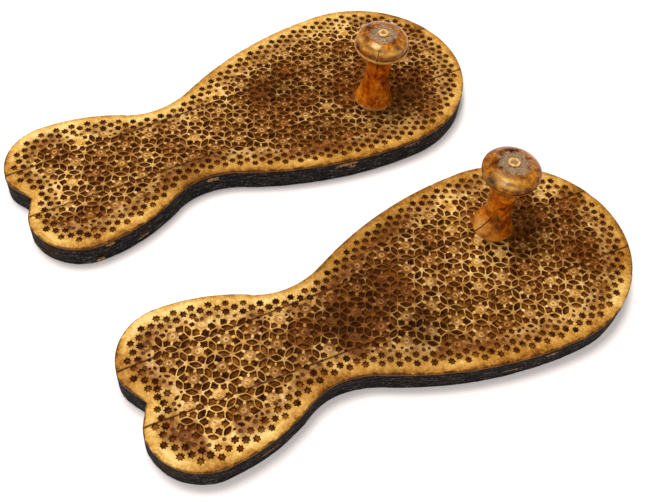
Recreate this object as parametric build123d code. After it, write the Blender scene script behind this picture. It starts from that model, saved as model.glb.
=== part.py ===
from build123d import *
from math import atan2, cos, degrees, hypot, radians, sin, sqrt
import os

# A pair of toe-knob sandals. Each is a blackened wooden sole in the shape of a fish's tail,
# faced with three strips of pierced bone, with a turned knob that two toes grip.
# Millimetres, +Z up, +Y from heel to toe, +X to the right; the pair stands on z = 0
# and the origin is under the middle of the pair.
# Each sandal is drawn in its own frame first: its axis on +Y, its heel end at y = 0.

# Sole outline, of which each half mirrors the other
sandal_length = 250.0
ball_half_width = 53.4
ball_station = 193.5               # stations are measured from the heel end
waist_half_width = 26.6
waist_station = 83.3
ball_side_waist_radius = 42.5
heel_side_waist_radius = 32.0
heel_half_width = 41.0
heel_station = 26.0
lobe_offset = 16.5                 # rearmost point of each heel lobe, from the axis
lobe_turn_width = 8.2              # how far in from there the cleft's straight side begins
lobe_turn_depth = 1.9
cleft_depth = 6.5

# Thicknesses
board_thickness = 11.8
overlay_thickness = 1.6
board_foot_chamfer = 0.8
overlay_inset = 0.4                # the board shows as a dark line round the bone

# Where the sandals stand
pair_spacing = 130.5               # from axis to axis, at the middle of their length
pair_stagger = 6.6                 # how far the right sandal stands ahead
toe_out = 1.76                     # degrees that each toe end turns outwards

# Seams between the strips, as distances to the right of the axis
seam_gap = 0.3
seam_overrun = 2.5                 # how far a seam's cut runs past each end of the sole
left_seam_at_heel = -18.0
left_seam_at_toe = -17.0
right_seam_at_heel = 10.5
right_seam_at_toe = 20.5

# Openwork: a hexagonal net of twin ribs round small bosses
hex_pitch = 13.0
rib_width = 0.6
rib_node_land = 0.55               # solid left where the ribs cross
lens_half_width = 1.4
boss_radius = 2.7
tooth_half_angle = 5.0             # degrees that a boss's pointed teeth keep solid
kite_middle = 4.9                  # from a boss's centre to the middle of the holes round it
field_depth = 14.3                 # from the outline to the nearest net hole's centre
net_origins = {"left": (0.0, 40.0), "right": (-1.7, 41.5)}

# Border: rows of star-shaped holes that follow the outline
star_guide_depth = 7.6             # from the outline to the middle row
star_row_step = 2.15
star_spacing = 7.6
star_points = 7
star_outer_radius = 1.85
star_inner_radius = 1.2

# Pegs that hold the bone down, in the row inside the stars
peg_radius = 1.0
peg_depth_in_board = 6.0
peg_stars_apart = 6
peg_land = 3.4                     # a net hole's centre keeps this far from a peg's

# Toe knob
knob_stations = {"left": 188.8, "right": 190.2}
knob_offset = 17.6                 # from the axis, towards the other sandal
knob_land = 9.0                    # a hole's centre keeps this far from the knob's axis
tenon_radius = 4.0
tenon_recess = 0.8                 # the tenon ends this far above the sole's underside
kerf_width = 1.2
kerf_depth = 8.0
wedge_width = 6.6
wedge_tip_thickness = 0.3
bore_radius = 1.5
bore_depth = 12.0
plug_cap_radius = 2.9
plug_cap_height = 1.2
plug_pit_radius = 1.2
plug_pit_depth = 0.6
fit_clearance = 0.05               # on the radius, or on each side, of every close fit
end_spare = 0.3                    # left empty at the end of every peg, plug and wedge

# The two knobs were turned by hand and differ. Heights are above the bone.
knob_shapes = {
    "left": dict(foot=10.1, foot_edge=0.8, flare=8.2, flare_height=6.6, neck=6.3, neck_height=19.0,
                 shoulder=7.6, shoulder_height=30.5, rim=13.8, rim_height=35.9, rim_edge=1.6,
                 rim_step=0.6, bulge=12.9, bulge_height=41.0, brow=11.2, brow_height=42.7,
                 crown=7.8, crown_height=44.2),
    "right": dict(foot=10.1, foot_edge=0.8, flare=8.3, flare_height=7.2, neck=6.2, neck_height=15.5,
                  shoulder=7.8, shoulder_height=31.0, rim=13.4, rim_height=37.9, rim_edge=0.7,
                  rim_step=0.2, bulge=13.8, bulge_height=40.3, brow=12.6, brow_height=42.8,
                  crown=8.8, crown_height=45.6),
}

# Worked out from the sizes above
sole_top = board_thickness + overlay_thickness
hex_side_distance = hex_pitch / 2
hex_corner_distance = hex_pitch / sqrt(3)
seams = ((left_seam_at_heel, left_seam_at_toe), (right_seam_at_heel, right_seam_at_toe))


def arcs_meet(start, end, end_radius):
    """The point where two tangent arcs meet, which leave start and reach end along Y."""
    across = abs(start[0] - end[0])
    along = abs(start[1] - end[1])
    both_radii = (across**2 + along**2) / (2 * across)
    share = 1 - end_radius / both_radii
    return (start[0] + (end[0] - start[0]) * share, start[1] + (end[1] - start[1]) * share)


def sole_outline(inset=0):
    """The outline as a face: round toe end, broad ball, narrow waist, cleft heel.

    An inset draws it in by that much all round.
    """
    cleft_slope = atan2(cleft_depth - lobe_turn_depth, lobe_offset - lobe_turn_width)
    ball = (ball_half_width - inset, ball_station)
    waist = (waist_half_width - inset, waist_station)
    heel = (heel_half_width - inset, heel_station)
    lobe = (lobe_offset, inset)
    cleft_side = (lobe_offset - lobe_turn_width + inset * sin(cleft_slope),
                  lobe_turn_depth + inset * cos(cleft_slope))
    cleft = (0, cleft_depth + inset / cos(cleft_slope))
    front_meeting = arcs_meet(ball, waist, ball_side_waist_radius + inset)
    back_meeting = arcs_meet(heel, waist, heel_side_waist_radius + inset)
    toe_end = EllipticalCenterArc((0, ball_station), ball_half_width - inset,
                                  sandal_length - ball_station - inset, arc_size=90)
    flank = TangentArc(ball, front_meeting, tangent=(0, -1))
    front_waist = TangentArc(front_meeting, waist, tangent=flank % 1)
    back_waist = TangentArc(waist, back_meeting, tangent=(0, -1))
    heel_side = TangentArc(back_meeting, heel, tangent=back_waist % 1)
    heel_corner = TangentArc(heel, lobe, tangent=(0, -1))
    lobe_turn = TangentArc(lobe, cleft_side, tangent=heel_corner % 1)
    cleft_line = Line(cleft_side, cleft)
    half = Curve() + [toe_end, flank, front_waist, back_waist, heel_side, heel_corner,
                      lobe_turn, cleft_line]
    return make_face(Curve() + [half, mirror(half, Plane.YZ)]).face()


outline = sole_outline()
outline_samples = 900
outline_points = [outline.outer_wire().position_at(i / outline_samples)
                  for i in range(outline_samples)]


def depth_inside(x, y):
    """Distance from a point to the outline, or 0 outside it."""
    if not outline.is_inside((x, y, 0)):
        return 0
    return min(hypot(x - point.X, y - point.Y) for point in outline_points)


def knob_place(side):
    """The knob's axis in the sandal's own frame."""
    return (knob_offset if side == "left" else -knob_offset, knob_stations[side])


def clear_of_knob(x, y, side):
    knob_x, knob_y = knob_place(side)
    return hypot(x - knob_x, y - knob_y) > knob_land


def ray(centre, distance, angle):
    """The point at a distance from centre, at an angle in degrees from +X."""
    return (centre[0] + distance * cos(radians(angle)), centre[1] + distance * sin(radians(angle)))


def polygon(points):
    return Face(Wire.make_polygon([(x, y, 0) for x, y in points], close=True))


def kite(centre, angle):
    """The hole between two teeth of a boss and the ribs that meet at a hexagon's corner."""
    side_corner = hex_side_distance - lens_half_width - rib_width
    half_angle = 30 - tooth_half_angle
    return [ray(centre, hex_corner_distance - rib_node_land, angle),
            ray(centre, side_corner, angle + half_angle),
            ray(centre, boss_radius, angle),
            ray(centre, side_corner, angle - half_angle)]


def lens(centre, angle):
    """The hole between the twin ribs along one side of a hexagon."""
    middle = ray(centre, hex_side_distance, angle)
    half_length = hex_corner_distance / 2 - rib_node_land
    return [ray(middle, half_length, angle + 90), ray(middle, lens_half_width, angle),
            ray(middle, half_length, angle - 90), ray(middle, lens_half_width, angle + 180)]


def star(centre, angle):
    radii = (star_outer_radius, star_inner_radius)
    step = 180 / star_points
    return [ray(centre, radii[k % 2], angle + k * step) for k in range(2 * star_points)]


def border_spots():
    """Star places with their angles, and the places of the row inside them for pegs."""
    guide = offset(outline, amount=-star_guide_depth, kind=Kind.ARC).face().outer_wire()
    at_toe = guide.param_at_point((0, sandal_length - star_guide_depth, 0))
    count = round(guide.length / star_spacing)
    stars = []
    inner_row = []
    for i in range(2 * count):
        share = (at_toe + i / (2 * count)) % 1
        spot = guide.position_at(share)
        along = guide.tangent_at(share)
        angle = degrees(atan2(along.Y, along.X))
        inward = angle + 90
        ahead = ray((spot.X, spot.Y), star_row_step, inward)
        if depth_inside(*ahead) < star_guide_depth:
            inward = angle - 90
        middle = (spot.X, spot.Y)
        if i % 2 == 0:
            stars.append((ray(middle, -star_row_step, inward), angle))
            stars.append((ray(middle, star_row_step, inward), angle))
        else:
            stars.append((middle, angle))
            inner_row.append(ray(middle, 2 * star_row_step, inward))
    return stars, inner_row


border_stars, inner_row_spots = border_spots()


def peg_places(side):
    """Every few places of the inner row, kept clear of the seams and the knob."""
    places = []
    for x, y in inner_row_spots[::peg_stars_apart]:
        seam_distance = min(abs(x - seam_x(y, seam)) for seam in seams)
        if clear_of_knob(x, y, side) and seam_distance > 2 * peg_radius:
            places.append((x, y))
    return places


def seam_x(y, seam):
    """A seam's place at station y."""
    return seam[0] + (seam[1] - seam[0]) * y / sandal_length


def seam_blade(seam):
    """A strip as wide as the gap, which parts the sheet of bone."""
    corners = []
    back, front = -seam_overrun, sandal_length + seam_overrun
    for y, sign in ((back, -1), (front, -1), (front, 1), (back, 1)):
        corners.append((seam_x(y, seam) + sign * seam_gap / 2, y))
    return polygon(corners)


def net_holes(side, pegs):
    """All kites and lenses of the hexagonal net that lie inside the border."""
    start_x, start_y = net_origins[side]
    column_step = hex_pitch * sqrt(3) / 2
    columns = round(ball_half_width / column_step) + 1
    rows = round(sandal_length / hex_pitch) + columns
    holes = []
    for column in range(-columns, columns + 1):
        for row in range(-rows, rows + 1):
            centre = (start_x + column * column_step, start_y + (row + column / 2) * hex_pitch)
            if abs(centre[0]) > ball_half_width or not 0 < centre[1] < sandal_length:
                continue
            for k in range(6):
                holes.append((ray(centre, kite_middle, 60 * k), kite(centre, 60 * k)))
            for k in range(3):
                angle = 30 + 60 * k
                holes.append((ray(centre, hex_side_distance, angle), lens(centre, angle)))
    return [points for (x, y), points in holes
            if depth_inside(x, y) > field_depth and clear_of_knob(x, y, side)
            and all(hypot(x - peg[0], y - peg[1]) > peg_land for peg in pegs)]


def round_hole(x, y, radius):
    return Face(Wire.make_circle(radius, Plane((x, y, 0))))


def overlay_strips(side):
    """The pierced sheet of bone, parted along its two seams, from left to right."""
    pegs = peg_places(side)
    holes = [polygon(points) for points in net_holes(side, pegs)]
    holes += [polygon(star(middle, angle)) for middle, angle in border_stars
              if clear_of_knob(*middle, side)]
    holes += [round_hole(x, y, peg_radius + fit_clearance) for x, y in pegs]
    holes.append(round_hole(*knob_place(side), tenon_radius + fit_clearance))
    sheet = sole_outline(overlay_inset).cut(*holes, *[seam_blade(seam) for seam in seams])
    largest = sorted(sheet.faces(), key=lambda face: face.area)[-3:]
    strips = sorted(largest, key=lambda face: face.center().X)
    return [Pos(0, 0, board_thickness) * Solid.extrude(strip, Vector(0, 0, overlay_thickness))
            for strip in strips]


def cylinder(x, y, radius, bottom, top):
    return Pos(x, y, bottom) * Cylinder(
        radius, top - bottom, align=(Align.CENTER, Align.CENTER, Align.MIN))


def sole_board(side):
    """The wooden sole, bored for the knob's tenon and for the pegs."""
    board = extrude(outline, amount=board_thickness)
    board = chamfer(board.faces().sort_by(Axis.Z)[0].edges(), board_foot_chamfer)
    board -= cylinder(*knob_place(side), tenon_radius + fit_clearance, -1, board_thickness + 1)
    hole_bottom = board_thickness - peg_depth_in_board - end_spare
    for x, y in peg_places(side):
        board -= cylinder(x, y, peg_radius + fit_clearance, hole_bottom, board_thickness + 1)
    return board


def overlay_pegs(side):
    """Wooden pegs, level with the bone, each a solid of its own."""
    bottom = board_thickness - peg_depth_in_board
    return Compound([cylinder(x, y, peg_radius, bottom, sole_top).solid()
                     for x, y in peg_places(side)])


def toe_knob(side):
    """Foot, waisted neck and mushroom head turned in one piece, with a tenon below."""
    size = knob_shapes[side]
    foot_top = (size["foot"], size["foot_edge"])
    flare = (size["flare"], size["flare_height"])
    neck = (size["neck"], size["neck_height"])
    shoulder = (size["shoulder"], size["shoulder_height"])
    rim = (size["rim"], size["rim_height"])
    rim_top = (size["rim"], size["rim_height"] + size["rim_edge"])
    dome_start = (size["rim"] - size["rim_step"], rim_top[1] + size["rim_step"] / 2)
    bulge = (size["bulge"], size["bulge_height"])
    brow = (size["brow"], size["brow_height"])
    crown = (size["crown"], size["crown_height"])
    tenon_end = tenon_recess - sole_top
    profile = Curve() + [
        Polyline((0, tenon_end), (tenon_radius, tenon_end), (tenon_radius, 0),
                 (size["foot"], 0), foot_top),
        Spline(foot_top, flare, neck, tangents=[(-0.4, 1), (0, 1)]),
        Spline(neck, shoulder, rim, tangents=[(0, 1), (1, 0.35)]),
        Polyline(rim, rim_top, dome_start),
        Spline(dome_start, bulge, brow, crown, tangents=[(0, 1), (-1, 0.2)]),
        Polyline(crown, (0, crown[1]), (0, tenon_end)),
    ]
    knob = revolve(Plane.XZ * make_face(profile), Axis.Z)
    knob -= cylinder(0, 0, bore_radius, crown[1] - bore_depth, crown[1] + 1)
    knob -= Pos(0, 0, tenon_end) * Box(
        kerf_width, 4 * tenon_radius, kerf_depth, align=(Align.CENTER, Align.CENTER, Align.MIN))
    return Pos(*knob_place(side), sole_top) * knob


def knob_plug(side):
    """The small plug that closes the knob's bore, with a pitted cap."""
    crown_height = knob_shapes[side]["crown_height"]
    plug = cylinder(0, 0, bore_radius - fit_clearance,
                    crown_height - bore_depth + end_spare, crown_height)
    cap = cylinder(0, 0, plug_cap_radius, crown_height, crown_height + plug_cap_height)
    cap = fillet(cap.edges().sort_by(Axis.Z)[-1], plug_cap_height / 2)
    pit_bottom = crown_height + plug_cap_height - plug_pit_depth
    plug = plug + cap - cylinder(0, 0, plug_pit_radius, pit_bottom, pit_bottom + 1)
    return Pos(*knob_place(side), sole_top) * plug


def knob_wedge(side):
    """The wedge driven up the saw cut in the tenon from under the sole."""
    bottom_thickness = kerf_width - 2 * fit_clearance
    corners = [(-bottom_thickness / 2, 0), (bottom_thickness / 2, 0),
               (wedge_tip_thickness / 2, kerf_depth - end_spare),
               (-wedge_tip_thickness / 2, kerf_depth - end_spare)]
    section = Plane.XZ * make_face(Polyline(*corners, close=True))
    wedge = extrude(section, amount=wedge_width / 2, both=True)
    return Pos(*knob_place(side), tenon_recess) * wedge


def stand(side):
    """The place of one sandal in the pair."""
    sign = -1 if side == "left" else 1
    return (Pos(sign * pair_spacing / 2, sign * pair_stagger / 2, 0)
            * Rot(0, 0, -sign * toe_out) * Pos(0, -sandal_length / 2, 0))


def build_pair():
    """Every piece of both sandals by node name, in the pair's frame."""
    pieces = {}
    for side in ("left", "right"):
        strip_names = ["outer", "middle", "inner"] if side == "left" else ["inner", "middle", "outer"]
        own = {"sole_board": sole_board(side), "overlay_pegs": overlay_pegs(side),
               "toe_knob": toe_knob(side), "knob_plug": knob_plug(side),
               "knob_wedge": knob_wedge(side)}
        for name, strip in zip(strip_names, overlay_strips(side)):
            own[f"overlay_{name}_strip"] = strip
        for name, piece in own.items():
            pieces[f"{side}_{name}"] = stand(side) * piece
    boards = Compound([pieces["left_sole_board"].solid(), pieces["right_sole_board"].solid()])
    middle = boards.bounding_box().center()
    return {name: Pos(-middle.X, -middle.Y, 0) * piece for name, piece in pieces.items()}


os.makedirs("parts", exist_ok=True)
for name, piece in build_pair().items():
    export_step(piece, f"parts/{name}.step")
    size = piece.bounding_box().size
    print(f"{name}: {len(piece.solids())} solid(s), {size.X:.1f} x {size.Y:.1f} x {size.Z:.1f} mm")
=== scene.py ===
import functools
import math
import random
import bpy
import numpy as np
from mathutils import Matrix, Vector, noise
from mathutils.geometry import delaunay_2d_cdt


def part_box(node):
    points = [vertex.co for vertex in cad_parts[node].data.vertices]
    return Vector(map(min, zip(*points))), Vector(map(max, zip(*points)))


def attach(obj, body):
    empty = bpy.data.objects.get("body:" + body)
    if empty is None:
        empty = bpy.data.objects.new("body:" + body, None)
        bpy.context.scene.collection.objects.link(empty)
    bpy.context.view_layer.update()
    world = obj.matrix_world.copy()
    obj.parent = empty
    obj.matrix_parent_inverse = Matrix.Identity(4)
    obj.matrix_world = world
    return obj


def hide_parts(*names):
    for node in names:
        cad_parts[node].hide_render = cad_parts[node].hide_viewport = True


# A pair of toe-knob sandals. Sizes are in millimetres, in each sandal's own frame:
# its axis on +Y, its heel end at y = 0, the floor at z = 0.
MM = 0.001

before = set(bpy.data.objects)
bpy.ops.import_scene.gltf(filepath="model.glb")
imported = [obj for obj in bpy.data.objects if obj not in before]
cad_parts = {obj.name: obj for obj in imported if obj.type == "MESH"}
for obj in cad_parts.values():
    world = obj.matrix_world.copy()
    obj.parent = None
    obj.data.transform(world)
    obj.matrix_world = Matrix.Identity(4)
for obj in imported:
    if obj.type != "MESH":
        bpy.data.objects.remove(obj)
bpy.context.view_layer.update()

# Sizes shared with the solid model
SANDAL_LENGTH = 250.0
BALL = (53.4, 193.5)
WAIST = (26.6, 83.3)
WAIST_RADII = (42.5, 32.0)
HEEL = (41.0, 26.0)
LOBE_OFFSET = 16.5
LOBE_TURN = (8.2, 1.9)
CLEFT_DEPTH = 6.5
BOARD_TOP = 11.8
SOLE_TOP = 13.4
OVERLAY_INSET = 0.4
SEAM_GAP = 0.3
SEAMS = ((-18.0, -17.0), (10.5, 20.5))
HEX_PITCH = 13.0
NET_ORIGINS = {"left": (0.0, 40.0), "right": (-1.7, 41.5)}
FIELD_DEPTH = 14.3
STAR_DEPTH = 7.6
STAR_SPACING = 7.6
ROW_STEP = 2.15
KNOB_OFFSET = 17.6
KNOB_STATIONS = {"left": 188.8, "right": 190.2}
KNOB_LAND = 9.0
TENON_RADIUS = 4.0
TENON_END = 0.8
KERF = (1.2, 8.0)
BORE = (1.5, 12.0)
PEG_RADIUS = 1.0
PEG_BOTTOM = 5.8
TOE_OUT = 1.76

HEX_SIDE = HEX_PITCH / 2
HEX_CORNER = HEX_PITCH / math.sqrt(3)
RIB_BULGE = 1.75
RIB_CURVE = 1.4
RIB_WIDTH = 0.54
LENS_END = 0.15
FILL_PITCH = 1.3
KITE_MIDDLE = 4.9
STAR_RADII = (2.06, 1.32)
BOARD_POINT_STEP = 4.3
CHUNK = 4000                       # points compared at a time, to save memory
# Room kept round the middle of a dot, a star hole and a boss
DOT_ROOM, STAR_ROOM, BOSS_ROOM = 1.35, 2.3, 2.7
FIT = 0.05                         # play round the tenon and the pegs
PEG_SIDES, TENON_SIDES = 14, 32


# ---------------------------------------------------------------- outline

def arc(start, end, heading, step=1.0):
    """Points along the arc from start, leaving along heading, to end, and the heading there."""
    start, end, heading = (np.array(v, float) for v in (start, end, heading))
    heading = heading / np.linalg.norm(heading)
    chord = end - start
    left = np.array([-heading[1], heading[0]])
    radius = chord @ chord / (2 * chord @ left)
    centre = start + left * radius
    first = math.atan2(*(start - centre)[::-1])
    last = math.atan2(*(end - centre)[::-1])
    if radius > 0 and last < first:
        last += 2 * math.pi
    if radius < 0 and last > first:
        last -= 2 * math.pi
    count = max(3, round(abs(radius * (last - first)) / step))
    turn = np.linspace(first, last, count + 1)
    points = centre + abs(radius) * np.column_stack([np.cos(turn), np.sin(turn)])
    bend = last - first
    c, s = math.cos(bend), math.sin(bend)
    return points, np.array([c * heading[0] - s * heading[1], s * heading[0] + c * heading[1]])


def arcs_meet(start, end, end_radius):
    across, along = abs(start[0] - end[0]), abs(start[1] - end[1])
    share = 1 - end_radius * 2 * across / (across**2 + along**2)
    return (start[0] + (end[0] - start[0]) * share, start[1] + (end[1] - start[1]) * share)


def sole_outline(inset=0.0, step=1.0):
    """The closed outline from the toe down the right side and up the left, drawn in by inset."""
    slope = math.atan2(CLEFT_DEPTH - LOBE_TURN[1], LOBE_OFFSET - LOBE_TURN[0])
    ball = (BALL[0] - inset, BALL[1])
    waist = (WAIST[0] - inset, WAIST[1])
    heel = (HEEL[0] - inset, HEEL[1])
    lobe = (LOBE_OFFSET, inset)
    cleft_side = (LOBE_OFFSET - LOBE_TURN[0] + inset * math.sin(slope),
                  LOBE_TURN[1] + inset * math.cos(slope))
    front_meeting = arcs_meet(ball, waist, WAIST_RADII[0] + inset)
    back_meeting = arcs_meet(heel, waist, WAIST_RADII[1] + inset)
    turn = np.linspace(math.pi / 2, 0, round(88 / step))
    reach = SANDAL_LENGTH - BALL[1] - inset
    pieces = [np.column_stack([ball[0] * np.cos(turn), BALL[1] + reach * np.sin(turn)])]
    heading = (0, -1)
    for a, b, fresh in ((ball, front_meeting, True), (front_meeting, waist, False),
                        (waist, back_meeting, True), (back_meeting, heel, False),
                        (heel, lobe, True), (lobe, cleft_side, False)):
        points, heading = arc(a, b, (0, -1) if fresh else heading, step)
        pieces.append(points[1:])
    count = max(2, round(11 / step))
    cleft = np.array([0, CLEFT_DEPTH + inset / math.cos(slope)])
    pieces.append(np.linspace(pieces[-1][-1], cleft, count + 1)[1:])
    half = np.vstack(pieces)
    mirrored = half[1:-1][::-1] * [-1, 1]
    return np.vstack([half, mirrored])


LOOP = sole_outline(0.0, 0.8)


def inside(points, loop):
    x, y = points[:, 0:1], points[:, 1:2]
    a, b = loop, np.roll(loop, -1, axis=0)
    crosses = (a[:, 1] > y) != (b[:, 1] > y)
    rise = np.where(b[:, 1] == a[:, 1], 1e-9, b[:, 1] - a[:, 1])
    at = a[:, 0] + (y - a[:, 1]) * (b[:, 0] - a[:, 0]) / rise
    return (crosses & (x < at)).sum(axis=1) % 2 == 1


def distance(points, loop):
    a, b = loop, np.roll(loop, -1, axis=0)
    edge = b - a
    best = np.full(len(points), 1e9)
    for start in range(0, len(points), CHUNK):
        p = points[start:start + CHUNK, None, :] - a[None]
        t = np.clip((p * edge).sum(-1) / (edge * edge).sum(-1), 0, 1)
        best[start:start + CHUNK] = np.linalg.norm(p - t[..., None] * edge, axis=-1).min(axis=1)
    return best


def depth_inside(points):
    """Distance of each point from the outline, negative outside."""
    points = np.atleast_2d(np.array(points, float))
    return np.where(inside(points, LOOP), 1, -1) * distance(points, LOOP)


def guide_line(depth):
    """The line at a depth inside the outline, starting at the toe."""
    fine = sole_outline(0.0, 0.2)
    ahead = np.roll(fine, -1, axis=0) - np.roll(fine, 1, axis=0)
    inward = np.column_stack([ahead[:, 1], -ahead[:, 0]])
    inward /= np.linalg.norm(inward, axis=1)[:, None]
    moved = []
    for point, way in zip(fine, inward):
        if abs(point[0]) < 1e-6 and point[1] < 20:
            moved += [ray(point, depth, angle) for angle in np.linspace(30, 150, 80)]
        else:
            moved.append(point + depth * way)
    moved = np.array(moved)
    return moved[depth_inside(moved) > depth - 0.03]


def resample(line, count):
    """Even points round a closed line, the line's direction at each, and its length."""
    closed = np.vstack([line, line[:1]])
    run = np.concatenate([[0], np.cumsum(np.linalg.norm(np.diff(closed, axis=0), axis=1))])
    at = np.arange(count) / count * run[-1]
    points, later, earlier = (
        np.column_stack([np.interp((at + off) % run[-1], run, closed[:, k]) for k in (0, 1)])
        for off in (0, 0.5, -0.5))
    along = later - earlier
    return points, along / np.linalg.norm(along, axis=1)[:, None], run[-1]


# ---------------------------------------------------------------- pattern

def ray(centre, reach, degrees):
    a = math.radians(degrees)
    return np.array([centre[0] + reach * math.cos(a), centre[1] + reach * math.sin(a)])


def rounded(points, keep):
    """A polygon with its corners cut back."""
    points = np.array(points)
    ahead = np.roll(points, -1, axis=0)
    return np.stack([points * (1 - keep) + ahead * keep,
                     points * keep + ahead * (1 - keep)], axis=1).reshape(-1, 2)


def apart(places, at):
    """The distance from a point to the nearest of one or more places."""
    return np.hypot(*(np.atleast_2d(places) - at).T).min()


def noise_at(x, y, z):
    return noise.noise(Vector((x, y, z)))


def warp(point, side):
    """The small wandering of a pattern laid out by hand, the same in every run."""
    x, y = point[0] / 22 + (0.0 if side == "left" else 50.0), point[1] / 22
    return np.array(point) + 0.45 * np.array([noise_at(x, y, z) for z in (3.1, 8.6)])


def border():
    """The three rows of star places with their angles, and the row of dots inside them."""
    guide = guide_line(STAR_DEPTH)
    count = round(resample(guide, 10)[2] / STAR_SPACING)
    points, along, _ = resample(guide, 2 * count)
    stars, dots = [], []
    for i, (point, way) in enumerate(zip(points, along)):
        inward = np.array([way[1], -way[0]])
        angle = math.degrees(math.atan2(way[1], way[0]))
        if i % 2 == 0:
            stars += [(point - ROW_STEP * inward, angle), (point + ROW_STEP * inward, angle)]
        else:
            stars.append((point, angle))
            dots.append(point + 2 * ROW_STEP * inward)
    return stars, dots


def knob_place(side):
    return np.array([KNOB_OFFSET if side == "left" else -KNOB_OFFSET, KNOB_STATIONS[side]])


class Net:
    """A hexagonal net laid out by eye: its cells and nodes each stand a little off their place."""

    def __init__(self, side, dice):
        self.dice = dice
        self.cells, self.nodes, self.bulges = {}, {}, {}
        x0, y0 = NET_ORIGINS[side]
        column_step = HEX_PITCH * math.sqrt(3) / 2
        for column in range(-6, 7):
            for row in range(-26, 27):
                at = np.array([x0 + column * column_step, y0 + (row + column / 2) * HEX_PITCH])
                if abs(at[0]) < 58 and -8 < at[1] < 258:
                    for k in range(6):
                        node = ray(at, HEX_CORNER, 60 * k)
                        key = (round(node[0] * 2), round(node[1] * 2))
                        self.nodes.setdefault(key, self.stray(node, 0.26))
                    self.cells[column, row] = (at, self.stray(at, 0.2))

    def stray(self, at, by):
        return at + np.array([self.dice.gauss(0, by), self.dice.gauss(0, by)])

    def node(self, at, k):
        """The node at a cell's corner k, where it really stands."""
        place = ray(at, HEX_CORNER, 60 * k)
        return self.nodes[round(place[0] * 2), round(place[1] * 2)]

    def bulge(self, at, k):
        key = (round(at[0]), round(at[1]), k % 6)
        return self.bulges.setdefault(key, RIB_BULGE * self.dice.uniform(0.9, 1.06))

    def rib(self, at, k, shares, off):
        """Points at shares of the rib that bows into a cell over its side k, moved off inwards."""
        start, end = self.node(at, k), self.node(at, k + 1)
        chord = end - start
        inward = np.array([-chord[1], chord[0]]) / np.linalg.norm(chord)
        bulge = self.bulge(at, k)
        points = []
        for share in shares:
            u = 2 * share - 1
            rise = bulge * (1 - abs(u)**RIB_CURVE)
            slope = 2 * RIB_CURVE * bulge * abs(u)**(RIB_CURVE - 1) / HEX_CORNER
            points.append(start + chord * share + inward * (rise + off * math.hypot(1, slope)))
        return points

    def kite(self, at, middle, k):
        """The hole between two petals of a boss and the two ribs that meet in node k."""
        dice = self.dice
        node = self.node(at, k)
        angle = math.degrees(math.atan2(*(node - middle)[::-1]))
        inward = (middle - node) / np.linalg.norm(middle - node)
        one = self.rib(at, k, (0.19, 0.29, 0.38, 0.46), RIB_WIDTH / 2)
        other = self.rib(at, k - 1, (0.54, 0.62, 0.71, 0.81), RIB_WIDTH / 2)
        fat = dice.uniform(0.85, 1.15)
        petal = [(4.25, 30 - 5 * fat), (3.85, 30 - 10 * fat), (3.4, 30 - 12 * fat),
                 (3.0, 30 - 9.5 * fat), (2.8, 30 - 12 * fat), (2.74, 5)]
        side = [ray(middle, reach, angle + turn) for reach, turn in petal]
        opposite = [ray(middle, reach, angle - turn) for reach, turn in petal]
        return [node + inward * dice.uniform(1.0, 1.25), *one, *side, *opposite[::-1], *other]

    def lens(self, at, other, k):
        """The leaf-shaped hole between the two ribs over a cell's side k."""
        shares = (0.2, 0.3, 0.4, 0.5, 0.6, 0.7, 0.8)
        start, end = self.node(at, k), self.node(at, k + 1)
        tips = [start + (end - start) * LENS_END, end + (start - end) * LENS_END]
        near = self.rib(at, k, shares, -RIB_WIDTH / 2)
        far = self.rib(other, k + 3, shares, -RIB_WIDTH / 2)
        return [tips[0], *near, tips[1], *far]


def net(side, dots, stars, dice):
    """Openwork holes as polygons, and the bosses that they leave, each with a brightness."""
    hexes = Net(side, dice)
    knob = knob_place(side)
    bosses, spots = [], []
    cells = list(hexes.cells.values())
    for depth, (at, middle) in zip(depth_inside([c[0] for c in cells]), cells):
        if depth < FIELD_DEPTH - 8:
            continue
        if depth > FIELD_DEPTH - 3.4 and apart(knob, at) > KNOB_LAND - 1.5:
            bosses.append((middle, dice.random()))
        for k in range(6):
            spots.append((ray(at, KITE_MIDDLE, 60 * k), hexes.kite(at, middle, k)))
        for k in range(3):
            beside = ray(at, HEX_PITCH, 30 + 60 * k)
            spots.append((ray(at, HEX_SIDE, 30 + 60 * k), hexes.lens(at, beside, k)))
    holes = []
    dots, stars = np.array(dots), np.array([s[0] for s in stars])
    for depth, (place, shape) in zip(depth_inside([s[0] for s in spots]), spots):
        if depth < FIELD_DEPTH - 2.4 or apart(knob, place) < KNOB_LAND:
            continue
        shape = rounded(shape, 0.15)
        middle = shape.mean(axis=0)
        size = dice.uniform(0.99, 1.05)
        reach = np.linalg.norm(shape - middle, axis=1).max() * size
        room = min(apart(dots, middle) - DOT_ROOM, apart(stars, middle) - STAR_ROOM)
        if room < reach:
            if room < 0.95:
                continue
            size *= room / reach
        holes.append(middle + (shape - middle) * size)
    holes += fill(knob, holes, np.array([b[0] for b in bosses]), dots, stars, dice)
    return holes, bosses


def fill(knob, holes, bosses, dots, stars, dice):
    """Small holes pierced wherever the field's edge would be left plain."""
    taken = np.vstack(holes)
    grid = [np.array([x, y]) for x in np.arange(-50, 50, FILL_PITCH)
            for y in np.arange(2, 250, FILL_PITCH)]
    dice.shuffle(grid)
    made = []
    for depth, place in zip(depth_inside(grid), grid):
        if not FIELD_DEPTH - 3.4 < depth < FIELD_DEPTH + 12:
            continue
        room = min(apart(taken, place) - 0.42, apart(bosses, place) - BOSS_ROOM,
                   apart(dots, place) - DOT_ROOM, apart(stars, place) - STAR_ROOM,
                   apart(knob, place) - KNOB_LAND - 0.6)
        if room > 0.68:
            hole = star(place, 0, dice, min(room, dice.uniform(0.95, 1.35)) / 1.95)
            made.append(hole)
            taken = np.vstack([taken, hole])
    return made


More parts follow.
